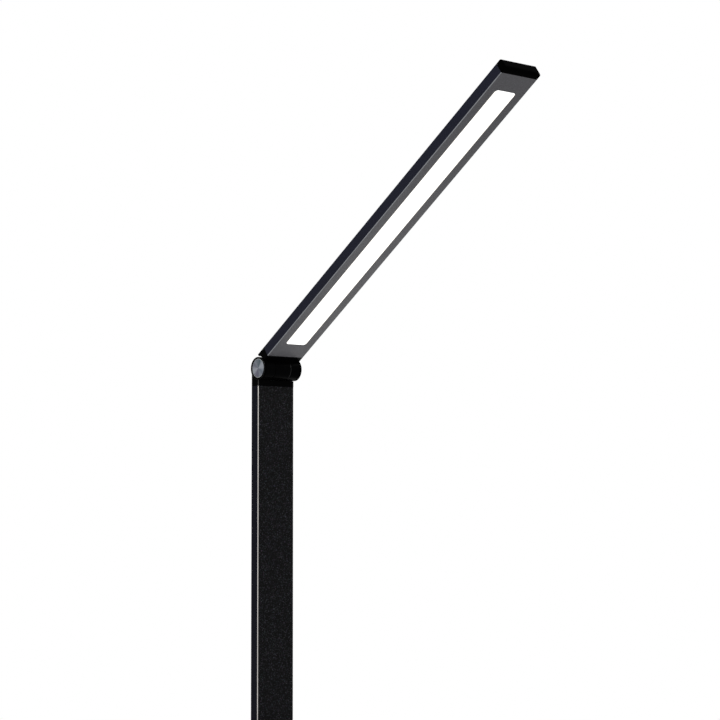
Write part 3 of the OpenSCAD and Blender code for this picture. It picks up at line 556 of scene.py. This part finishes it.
def dressHeadTube():
    spec = {"windowStart": 33.3, "windowLength": 317.5, "windowWidth": 22.4, "corner": 3,
            "cutDepth": 3, "sheetGap": 0.1, "sheetRecess": 0.2, "sheetBack": 2.1, "sheetEdge": 0.15}
    tube = makeTube("headTube", bar["headReach"], bar["headEnd"], headFront)
    window = makeWindowBlock("windowCutter", spec, 0, headFront - over, headFront + spec["cutDepth"])
    cut(tube, window)
    markBarFaces(tube)
    smoothShade(tube, 25)
    settle(tube, headPlace, "head", ("head", "headSideShade", "headEdgeHighlight", "back"))
    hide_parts("head_tube")
    sheet = makeWindowBlock("diffuserSheet", spec, spec["sheetGap"], headFront + spec["sheetRecess"],
                            headFront + spec["sheetBack"])
    softenEdges(sheet, spec["sheetEdge"])
    smoothShade(sheet)
    settle(sheet, headPlace, "head", ["diffuser"])
    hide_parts("diffuser")


def makeWindowBlock(name, spec, gap, front, back):
    half = spec["windowWidth"] / 2 - gap
    low = spec["windowStart"] + gap
    high = spec["windowStart"] + spec["windowLength"] - gap
    block = addBlock(name, (-half, front, low), (half, back, high))
    bevelEdges(block, lambda e: runsAlong(e, 1), spec["corner"] - gap, 8)
    return block


def dressTipCap():
    # its corners are rounded by two outlines, one seen from the front and one from the side
    spec = {"length": 5.6, "corner": 2.0, "frontRound": 3.0, "backRound": 1.2}
    half = bar["width"] / 2
    back = headFront + bar["thick"]
    start = bar["headEnd"]
    end = start + spec["length"]
    cap = addBlock("tipCap", (-half, headFront, start), (half, back, end))
    bevelBarEdges(cap, headFront)
    plan = addBlock("planOutline", (-half, headFront - over, start - over), (half, back + over, end))
    bevelEdges(plan, lambda e: runsAlong(e, 1) and isNear(edgeMiddle(e).z, end), spec["corner"], 8)
    combine(cap, plan, "INTERSECT")
    side = addBlock("sideOutline", (-half - over, headFront, start - over), (half + over, back, end))
    for edgeY, width in ((headFront, spec["frontRound"]), (back, spec["backRound"])):
        bevelEdges(side, lambda e: isNear(edgeMiddle(e).z, end) and isNear(edgeMiddle(e).y, edgeY),
                   width, 10)
    combine(cap, side, "INTERSECT")
    smoothShade(cap, 35)
    settle(cap, headPlace, "head", ["gloss"])
    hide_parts("tip_cap")


# the hinge pieces are modelled about an axis through the origin
def makeFork(name, front, back, foot, corner):
    spec = {"pocketGap": 0.4, "pocketFloor": 5.5, "seat": 7.5, "seatDepth": 5, "soft": 0.25}
    half = bar["width"] / 2
    shoulder = hinge["radius"] + hinge["capGap"]
    fork = addBlock(name, (-half, front, -foot), (half, back, 0))
    bevelEdges(fork, lambda e: runsAlong(e, 2), corner, 4)
    for side in (-1, 1):
        ends = sorted((side * hinge["earOut"], side * hinge["length"]))
        cut(fork, addRod("shoulder", shoulder, ends[0], ends[1]))
    pocket = hinge["radius"] + spec["pocketGap"]
    cut(fork, addRod("pocket", pocket, -hinge["earIn"], hinge["earIn"]))
    wide = 3 * hinge["radius"]
    cut(fork, addBlock("gap", (-hinge["earIn"], -wide, -spec["pocketFloor"]), (hinge["earIn"], wide, wide)))
    for side in (-1, 1):
        ends = sorted((side * hinge["earIn"], side * hinge["earOut"]))
        ear = addRod("ear", hinge["radius"], ends[0], ends[1])
        bevelEdges(ear, lambda e: isNear(abs(edgeMiddle(e).x), hinge["earIn"]), hinge["rim"], 3)
        fuse(fork, ear)
    cut(fork, addRod("bore", hinge["bore"], -hinge["length"], hinge["length"], sides=48))
    for side in (-1, 1):
        ends = sorted((side * (hinge["earOut"] - spec["seatDepth"]), side * hinge["length"]))
        cut(fork, addRod("seat", spec["seat"], ends[0], ends[1], sides=64))
    softenEdges(fork, spec["soft"])
    # the right ear's inner rim takes the second finish, the cut corners along the front the third, on the
    # upper fork a painted highlight
    markFaces(fork, 1, lambda f: 0 < f.center.x / mm < hinge["earIn"] + hinge["rim"] and isRim(f))
    markFaces(fork, 2, lambda f: abs(f.center.x) / mm > half - corner and f.center.y / mm < front + corner
              and isSlanted(f.normal.x) and isSlanted(f.normal.y))
    smoothShade(fork)
    return fork


def isSlanted(part):
    return 0.2 < abs(part) < 0.98


def isRim(face):
    # a face of the rounded edge round the barrel
    away = math.hypot(face.center.y, face.center.z) / mm
    return away > hinge["radius"] - hinge["rim"] and isSlanted(face.normal.x)


def makeKnuckle(name, front, reach):
    spec = {"relief": 0.7, "rise": 6.2, "soft": 0.25}
    half = bar["width"] / 2
    back = front + bar["thick"]
    wide = hinge["knuckle"] / 2
    body = addBlock(name, (-half, front, spec["rise"]), (half, back, reach))
    bevelBarEdges(body, front)
    for side in (-1, 1):
        ends = sorted((side * wide, side * 2 * half))
        cut(body, addRod("relief", hinge["radius"] + spec["relief"], ends[0], ends[1]))
    neck = addBlock("neck", (-wide, front, 0), (wide, back, spec["rise"] + over))
    pick(neck, "EDGE",
         lambda e: runsAlong(e, 0) and isNear(edgeMiddle(e).y, back) and isNear(edgeMiddle(e).z, 0))
    bpy.ops.transform.translate(value=(0, (hinge["radius"] - back) * mm, 0))
    fuse(body, neck)
    barrel = addRod("barrel", hinge["radius"], -wide, wide)
    bevelEdges(barrel, lambda e: not runsAlong(e, 0), hinge["rim"], 3)
    fuse(body, barrel)
    cut(body, addRod("bore", hinge["bore"], -hinge["length"], hinge["length"], sides=48))
    softenEdges(body, spec["soft"])
    smoothShade(body)
    return body


def dressHingePieces():
    spec = {"footInBase": 2.5, "pedestalCorner": 1.5}
    foot = joints["arm_tilt"].z / mm - baseTop + spec["footInBase"]
    bracket = makeFork("hingeBracket", -hinge["radius"], hinge["radius"], foot, spec["pedestalCorner"])
    settle(bracket, lowerPlace, "base", ("lacquer", "seam", "lacquer"))
    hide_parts("hinge_bracket")
    lowerEnd = makeKnuckle("armLowerEnd", armFront, bar["armReach"])
    settle(lowerEnd, lowerPlace, "arm", ["lacquer"])
    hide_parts("arm_lower_end")
    fork = makeFork("armUpperFork", armFront, hinge["radius"], bar["armReach"], bar["edge"])
    settle(fork, upperPlace, "arm", ("lacquer", "seam", "forkEdgeHighlight"))
    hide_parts("arm_upper_fork")
    headEnd = makeKnuckle("headEnd", headFront, bar["headReach"])
    settle(headEnd, headPlace, "head", ["lacquer"])
    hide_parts("head_end")


def makeCap():
    spec = {"seatRadius": 8.4, "seatDepth": 1.4, "edge": 0.2, "soft": 0.12}
    start = hinge["earOut"]
    end = start + hinge["capWidth"]
    cap = addRod("capMaster", hinge["radius"], start, end, sides=128)
    pick(cap, "FACE", lambda f: f.normal.x > 0.9)
    bpy.ops.mesh.inset(thickness=(hinge["radius"] - spec["seatRadius"]) * mm)
    bpy.ops.mesh.extrude_region_move(TRANSFORM_OT_translate={"value": (-spec["seatDepth"] * mm, 0, 0)})
    deselectAll()
    softenEdges(cap, spec["soft"], 3)
    markFaces(cap, 1, lambda f: f.center.x / mm > end - spec["edge"] and isRim(f))
    smoothShade(cap)
    return cap


def makeDisc():
    spec = {"radius": 8.35, "thick": 1.0, "recess": 0.4, "rim": 0.35, "dish": 0.12, "rings": 5,
            "soft": 0.12}
    end = hinge["length"] / 2 - spec["recess"]
    disc = addRod("discMaster", spec["radius"], end - spec["thick"], end, sides=128)
    pick(disc, "FACE", lambda f: f.normal.x > 0.9)
    bpy.ops.mesh.inset(thickness=spec["rim"] * mm)
    step = (spec["radius"] - spec["rim"]) / (spec["rings"] + 1)
    for _ in range(spec["rings"]):
        bpy.ops.mesh.inset(thickness=step * mm, depth=-spec["dish"] / spec["rings"] * mm)
    bpy.ops.mesh.poke()
    deselectAll()
    softenEdges(disc, spec["soft"], 2, 50)
    # the outer rim takes the second finish, a painted highlight
    markFaces(disc, 1, lambda f: f.normal.x > 0.2
              and math.hypot(f.center.y, f.center.z) / mm > spec["radius"] - spec["rim"])
    smoothShade(disc, 20)
    addTurnedMap(disc)
    return disc


def addTurnedMap(obj):
    # U goes round the axis, V outwards from it
    unitOfV = 10  # millimetres
    atAxis = 1e-6
    layer = obj.data.uv_layers.new(name="turned")
    for face in obj.data.polygons:
        angles = []
        for loop in face.loop_indices:
            point = obj.data.vertices[obj.data.loops[loop].vertex_index].co
            radius = math.hypot(point.y, point.z)
            angles.append((loop, radius, math.atan2(point.z, point.y) / (2 * math.pi)))
        solid = [a for _, r, a in angles if r > atAxis]
        base = solid[0]
        for loop, radius, angle in angles:
            if radius <= atAxis:
                angle = sum(a + round(base - a) for a in solid) / len(solid)
            layer.data[loop].uv = (angle + round(base - angle), radius / mm / unitOfV)


def dressHingeEnds():
    caps = makeCap()
    discs = makeDisc()
    mirror = Matrix.Scale(-1, 4, (1, 0, 0))
    for where, place, body in (("lower", lowerPlace, "base"), ("upper", upperPlace, "arm")):
        for side, turn in (("Left", mirror), ("Right", Matrix.Identity(4))):
            for master, kind, looks, slotName in ((caps, "Cap", ("gloss", "seam"), "cap_gloss"),
                                                  (discs, "Disc", ("spun", "discRimHighlight"), "spun_aluminium")):
                piece = copyPiece(master, where + side + kind, turn)
                bakePlace(piece)
                pick(piece, "FACE", lambda f: True)
                bpy.ops.mesh.normals_make_consistent(inside=False)
                deselectAll()
                settle(piece, place, body, looks)
                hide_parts(f"{where}_{side.lower()}_{kind.lower()}")
    for master in (caps, discs):
        bpy.data.objects.remove(master)


dressArm()
dressHeadTube()
dressTipCap()
print("bars ready")
dressHingePieces()
dressHingeEnds()
print("hinges ready")


def makeSlab(name, width, depth, low, high, corner):
    slab = addBlock(name, (-width / 2, -depth / 2, low), (width / 2, depth / 2, high))
    bevelEdges(slab, lambda e: runsAlong(e, 2), corner, 16)
    return slab


def dressBaseCover():
    spec = {"width": 180, "depth": 150, "rim": 1.5, "corner": 24, "edge": 3, "wall": 2.5, "soft": 0.2,
            "panelWidth": 124, "panelDepth": 24, "panelFront": 12, "panelThick": 1.4, "panelGap": 0.15,
            "panelCorner": 6, "panelSoft": 0.15, "slotGap": 0.2, "slotDepth": 4, "slotCorner": 1.7,
            "inletHole": 3.75}
    cover = makeSlab("baseCover", spec["width"], spec["depth"], spec["rim"], baseTop, spec["corner"])
    bevelEdges(cover, lambda e: isNear(edgeMiddle(e).z, baseTop), spec["edge"], 6)
    inner = makeSlab("hollow", spec["width"] - 2 * spec["wall"], spec["depth"] - 2 * spec["wall"],
                     spec["rim"] - over, baseTop - spec["wall"], spec["corner"] - spec["wall"])
    cut(cover, inner)
    panelY = (spec["panelDepth"] - spec["depth"]) / 2 + spec["panelFront"]
    gap = spec["panelGap"]
    recess = makeSlab("recess", spec["panelWidth"] + 2 * gap, spec["panelDepth"] + 2 * gap,
                      baseTop - spec["panelThick"], baseTop + over, spec["panelCorner"])
    recess.location.y = panelY * mm
    bakePlace(recess)
    cut(cover, recess)
    axis = joints["arm_tilt"] / mm
    slotX = bar["width"] / 2 + spec["slotGap"]
    slotY = hinge["radius"] + spec["slotGap"]
    slot = addBlock("slot", (-slotX, axis.y - slotY, baseTop - spec["slotDepth"]),
                    (slotX, axis.y + slotY, baseTop + over))
    bevelEdges(slot, lambda e: runsAlong(e, 2), spec["slotCorner"], 5)
    cut(cover, slot)
    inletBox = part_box("supply_inlet")
    inletZ = (inletBox[0][2] + inletBox[1][2]) / 2 / mm
    backY = spec["depth"] / 2
    cut(cover, addRod("inletHole", spec["inletHole"], backY - 2 * spec["wall"], backY + over, axis="Y",
                      centre=(0, inletZ), sides=64))
    softenEdges(cover, spec["soft"])
    smoothShade(cover)
    settle(cover, Matrix.Identity(4), "base", ["cover"])
    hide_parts("base_cover")
    panel = makeSlab("touchPanel", spec["panelWidth"], spec["panelDepth"], baseTop - spec["panelThick"],
                     baseTop, spec["panelCorner"] - gap)
    panel.location.y = panelY * mm
    bakePlace(panel)
    softenEdges(panel, spec["panelSoft"])
    smoothShade(panel)
    settle(panel, Matrix.Identity(4), "base", ["panel"])
    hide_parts("touch_panel")
    return panelY


def addRing(radius, width, start=0, end=360):
    # flat ring or arc about the origin, angles in degrees anticlockwise from +X
    deselectAll()
    bpy.ops.mesh.primitive_circle_add(vertices=72, radius=radius * mm, fill_type="NOTHING")
    ring = bpy.context.active_object
    bpy.ops.object.mode_set(mode="EDIT")
    bpy.ops.mesh.select_all(action="SELECT")
    bpy.ops.mesh.extrude_edges_move()
    bpy.ops.transform.resize(value=((radius - width) / radius,) * 3, center_override=(0, 0, 0))
    mesh = bmesh.from_edit_mesh(ring.data)
    for face in mesh.faces:
        middle = face.calc_center_median()
        angle = math.degrees(math.atan2(middle.y, middle.x)) % 360
        face.select_set(not start <= angle <= end)
    bmesh.update_edit_mesh(ring.data)
    bpy.ops.mesh.select_mode(type="FACE")
    bpy.ops.mesh.delete(type="FACE")
    deselectAll()
    return ring


def addPatch(width, length, distance=0, angle=0):
    # flat bar whose middle lies at that distance from the origin, along that angle
    deselectAll()
    bpy.ops.mesh.primitive_plane_add(size=1)
    patch = bpy.context.active_object
    patch.scale = (length * mm, width * mm, 1)
    turn = Matrix.Rotation(math.radians(angle), 4, "Z")
    bakePlace(patch)
    patch.matrix_world = turn @ Matrix.Translation((distance * mm, 0, 0))
    bakePlace(patch)
    return patch


def addSpot(radius):
    deselectAll()
    bpy.ops.mesh.primitive_circle_add(vertices=40, radius=radius * mm, fill_type="NGON")
    return bpy.context.active_object


def joinMarks(name, flats, x, y):
    deselectAll()
    for flat in flats:
        flat.select_set(True)
    bpy.context.view_layer.objects.active = flats[0]
    bpy.ops.object.join()
    mark = flats[0]
    mark.name = name
    mark.location = (x * mm, y * mm, baseTop * mm)
    bakePlace(mark)
    pick(mark, "FACE", lambda f: True)
    bpy.ops.mesh.normals_make_consistent(inside=False)
    deselectAll()
    activate(mark)
    inkThick = 0.04
    ink = mark.modifiers.new("ink", "SOLIDIFY")
    ink.thickness = inkThick * mm
    ink.offset = 0
    bpy.ops.object.modifier_apply(modifier=ink.name)
    settle(mark, Matrix.Identity(4), "base", ["print"])
    return mark


def dressMarks(panelY):
    # five signs in a row, and five level dots behind them
    spec = {"pitch": 22, "rowShift": -1.5, "line": 0.55, "ring": 3.4, "powerGap": (55, 125), "powerBar": 2.6,
            "suns": {"markDimmer": (-1, 1.2, 0.9), "markBrighter": (1, 1.9, 1.4)},  # place, core, ray
            "rayGap": 0.8, "rayShare": 0.9, "longHand": (2.3, 1.1), "shortHand": (1.7, 0.8),
            "divider": 0.42, "dividerInset": 0.4, "shade": 2.5, "shadeHole": 0.05,
            "dots": 5, "dotRadius": 0.55, "dotPitch": 4.2, "dotShift": 6.8}
    line, ring, pitch = spec["line"], spec["ring"], spec["pitch"]
    y = panelY + spec["rowShift"]
    gapStart, gapEnd = spec["powerGap"]
    power = [addRing(ring, line, gapEnd, 360), addRing(ring, line, 0, gapStart)]
    joinMarks("markPower", power + [addPatch(line, ring, spec["powerBar"], 90)], 0, y)
    for name, (place, core, ray) in spec["suns"].items():
        middle = core + spec["rayGap"] + ray / 2
        rays = [addPatch(line * spec["rayShare"], ray, middle, turn) for turn in range(0, 360, 45)]
        joinMarks(name, [addRing(core, line)] + rays, place * pitch, y)
    hands = [addPatch(line, *spec["longHand"], 90), addPatch(line, *spec["shortHand"], 0)]
    joinMarks("markTimer", [addRing(ring, line)] + hands, -2 * pitch, y)
    tone = [addRing(ring, line), addPatch(spec["divider"], 2 * (ring - spec["dividerInset"]), 0, 90),
            addRing(spec["shade"], spec["shade"] - spec["shadeHole"], 90, 270)]
    joinMarks("markTone", tone, 2 * pitch, y)
    dots = []
    for index in range(spec["dots"]):
        dot = addSpot(spec["dotRadius"])
        dot.location.x = (index - (spec["dots"] - 1) / 2) * spec["dotPitch"] * mm
        bakePlace(dot)
        dots.append(dot)
    joinMarks("markLevels", dots, 0, panelY + spec["dotShift"])


def dressInlet():
    spec = {"collar": 3.6, "socket": 2.9, "depth": 9.5, "bodyBack": 72.5, "soft": 0.15,
            "overlap": 0.5, "pin": 1.05, "pinSeat": 0.2, "pinInset": 1, "pinRound": 0.4}
    low, high = [[v / mm for v in corner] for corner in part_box("supply_inlet")]
    middle = (0, (low[2] + high[2]) / 2)
    end = high[1]
    floor = end - spec["depth"]
    housing = addBlock("inletHousing", low, (high[0], spec["bodyBack"], high[2]))
    fuse(housing, addRod("collar", spec["collar"], spec["bodyBack"] - spec["overlap"], end, axis="Y",
                         centre=middle, sides=64))
    cut(housing, addRod("socket", spec["socket"], floor, end + over, axis="Y", centre=middle, sides=64))
    softenEdges(housing, spec["soft"])
    smoothShade(housing)
    pinEnd = end - spec["pinInset"]
    pin = addRod("inletPin", spec["pin"], floor - spec["pinSeat"], pinEnd, axis="Y", centre=middle,
                 sides=32)
    bevelEdges(pin, lambda e: isNear(edgeMiddle(e).y, pinEnd), spec["pinRound"], 3)
    smoothShade(pin)
    settle(housing, Matrix.Identity(4), "base", ["inlet"])
    settle(pin, Matrix.Identity(4), "base", ["brass"])
    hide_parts("supply_inlet")


dressMarks(dressBaseCover())
dressInlet()
print("base ready")


# CAD pieces that keep their shape and get a finish
innerHinge = [f"{where}_{part}" for where in ("lower", "upper")
              for part in ("axle", "axle_nut", "disc_spring", "friction_washers")]
keptFinish = {
    "pad": ["non_slip_pad"],
    "blackSteel": ["base_plate", "arm_screws"],
    "iron": ["ballast_plate"],
    "board": ["control_board", "inlet_board"],
    "sheath": ["base_lead", "riser_lead", "arm_lead", "head_lead"],
    "acrylic": ["light_guide"],
    "film": ["reflector_sheet"],
    "foam": ["pressure_foam"],
    "whiteBoard": ["left_led_strip", "right_led_strip"],
    "steel": ["cover_screws", "bracket_screws"] + innerHinge,
}
for finishName, names in keptFinish.items():
    for nodeName in names:
        for materialSlot in nodes[nodeName].material_slots:
            materialSlot.material = finish[finishName]
print("kept CAD pieces painted")


def makeBackdropMaterial():
    # a pale floor near the lamp that fades to the white of the backdrop further out
    spec = {"floor": (0.86, 0.86, 0.86), "fadeStart": 0.55, "fadeEnd": 1.15}
    material = bpy.data.materials.new("paleFloor")
    material.use_nodes = True
    tree = material.node_tree
    tree.nodes.clear()
    out = tree.nodes.new("ShaderNodeOutputMaterial")
    coords = tree.nodes.new("ShaderNodeTexCoord")
    distance = tree.nodes.new("ShaderNodeVectorMath")
    distance.operation = "LENGTH"
    tree.links.new(coords.outputs["Object"], distance.inputs[0])
    fade = tree.nodes.new("ShaderNodeMapRange")
    fade.interpolation_type = "SMOOTHSTEP"
    fade.inputs["From Min"].default_value = spec["fadeStart"]
    fade.inputs["From Max"].default_value = spec["fadeEnd"]
    tree.links.new(distance.outputs["Value"], fade.inputs["Value"])
    floor = tree.nodes.new("ShaderNodeBsdfDiffuse")
    floor.inputs["Color"].default_value = (*spec["floor"], 1)
    glow = tree.nodes.new("ShaderNodeEmission")
    glow.inputs["Color"].default_value = (1, 1, 1, 1)
    blend = tree.nodes.new("ShaderNodeMixShader")
    tree.links.new(fade.outputs["Result"], blend.inputs["Fac"])
    tree.links.new(floor.outputs[0], blend.inputs[1])
    tree.links.new(glow.outputs[0], blend.inputs[2])
    path = tree.nodes.new("ShaderNodeLightPath")
    seen = mathNode(tree, "MAXIMUM", path.outputs["Is Camera Ray"], path.outputs["Is Glossy Ray"])
    seen = mathNode(tree, "MAXIMUM", seen, path.outputs["Is Transmission Ray"])
    choose = tree.nodes.new("ShaderNodeMixShader")
    tree.links.new(seen, choose.inputs["Fac"])
    tree.links.new(floor.outputs[0], choose.inputs[1])
    tree.links.new(blend.outputs[0], choose.inputs[2])
    tree.links.new(choose.outputs[0], out.inputs["Surface"])
    return material


def makeStudio():
    spec = {"floorRadius": 6.0, "worldLight": 0.72}
    deselectAll()
    bpy.ops.mesh.primitive_circle_add(vertices=96, radius=spec["floorRadius"], fill_type="NGON")
    floor = bpy.context.active_object
    floor.name = "studioFloor"
    floor.data.materials.append(makeBackdropMaterial())
    world = bpy.data.worlds.new("studioWorld")
    bpy.context.scene.world = world
    world.use_nodes = True
    tree = world.node_tree
    tree.nodes.clear()
    out = tree.nodes.new("ShaderNodeOutputWorld")
    path = tree.nodes.new("ShaderNodeLightPath")
    seen = mathNode(tree, "MAXIMUM", path.outputs["Is Camera Ray"], path.outputs["Is Glossy Ray"])
    seen = mathNode(tree, "MAXIMUM", seen, path.outputs["Is Transmission Ray"])
    plain = tree.nodes.new("ShaderNodeBackground")
    plain.inputs["Color"].default_value = (1, 1, 1, 1)
    plain.inputs["Strength"].default_value = spec["worldLight"]
    white = tree.nodes.new("ShaderNodeBackground")
    white.inputs["Color"].default_value = (1, 1, 1, 1)
    white.inputs["Strength"].default_value = 1.0
    choose = tree.nodes.new("ShaderNodeMixShader")
    tree.links.new(seen, choose.inputs["Fac"])
    tree.links.new(plain.outputs[0], choose.inputs[1])
    tree.links.new(white.outputs[0], choose.inputs[2])
    tree.links.new(choose.outputs[0], out.inputs["Surface"])


def addSoftbox(name, spec):
    data = bpy.data.lights.new(name, "AREA")
    data.shape = "RECTANGLE"
    data.size, data.size_y = spec["size"]
    data.energy = spec["watts"]
    lamp = bpy.data.objects.new(name, data)
    bpy.context.collection.objects.link(lamp)
    lamp.location = spec["place"]
    aim = Vector(spec["target"]) - Vector(spec["place"])
    lamp.rotation_euler = aim.to_track_quat("-Z", "Y").to_euler()


def makeCamera():
    spec = {"place": (-1.0622, -1.2924, 0.3148), "yaw": 41.067, "pitch": 4.054, "roll": 0.07, "lens": 96.45}
    data = bpy.data.cameras.new("lampCamera")
    data.sensor_width = 36
    data.lens = spec["lens"]
    camera = bpy.data.objects.new("lampCamera", data)
    bpy.context.collection.objects.link(camera)
    camera.location = spec["place"]
    camera.rotation_euler = [math.radians(a) for a in (90 + spec["pitch"], spec["roll"], -spec["yaw"])]
    bpy.context.scene.camera = camera


softboxes = {
    "keySoftbox": {"place": (-1.1, -1.3, 1.5), "target": (0, 0, 0.3), "size": (0.7, 1.2), "watts": 16},
    "fillSoftbox": {"place": (1.6, -0.6, 1.2), "target": (0, 0, 0.3), "size": (1.2, 1.2), "watts": 10},
    "rimSoftbox": {"place": (0.4, 1.6, 1.4), "target": (0, 0, 0.3), "size": (1.2, 0.8), "watts": 10},
    "lowSoftbox": {"place": (0.45, 0.1, 0.12), "target": (0, -0.05, 0.48), "size": (0.3, 0.3),
                   "watts": 0.4},
}
makeStudio()
for boxName, boxSpec in softboxes.items():
    addSoftbox(boxName, boxSpec)
makeCamera()
bpy.context.scene.view_settings.view_transform = "Standard"
print("studio ready")
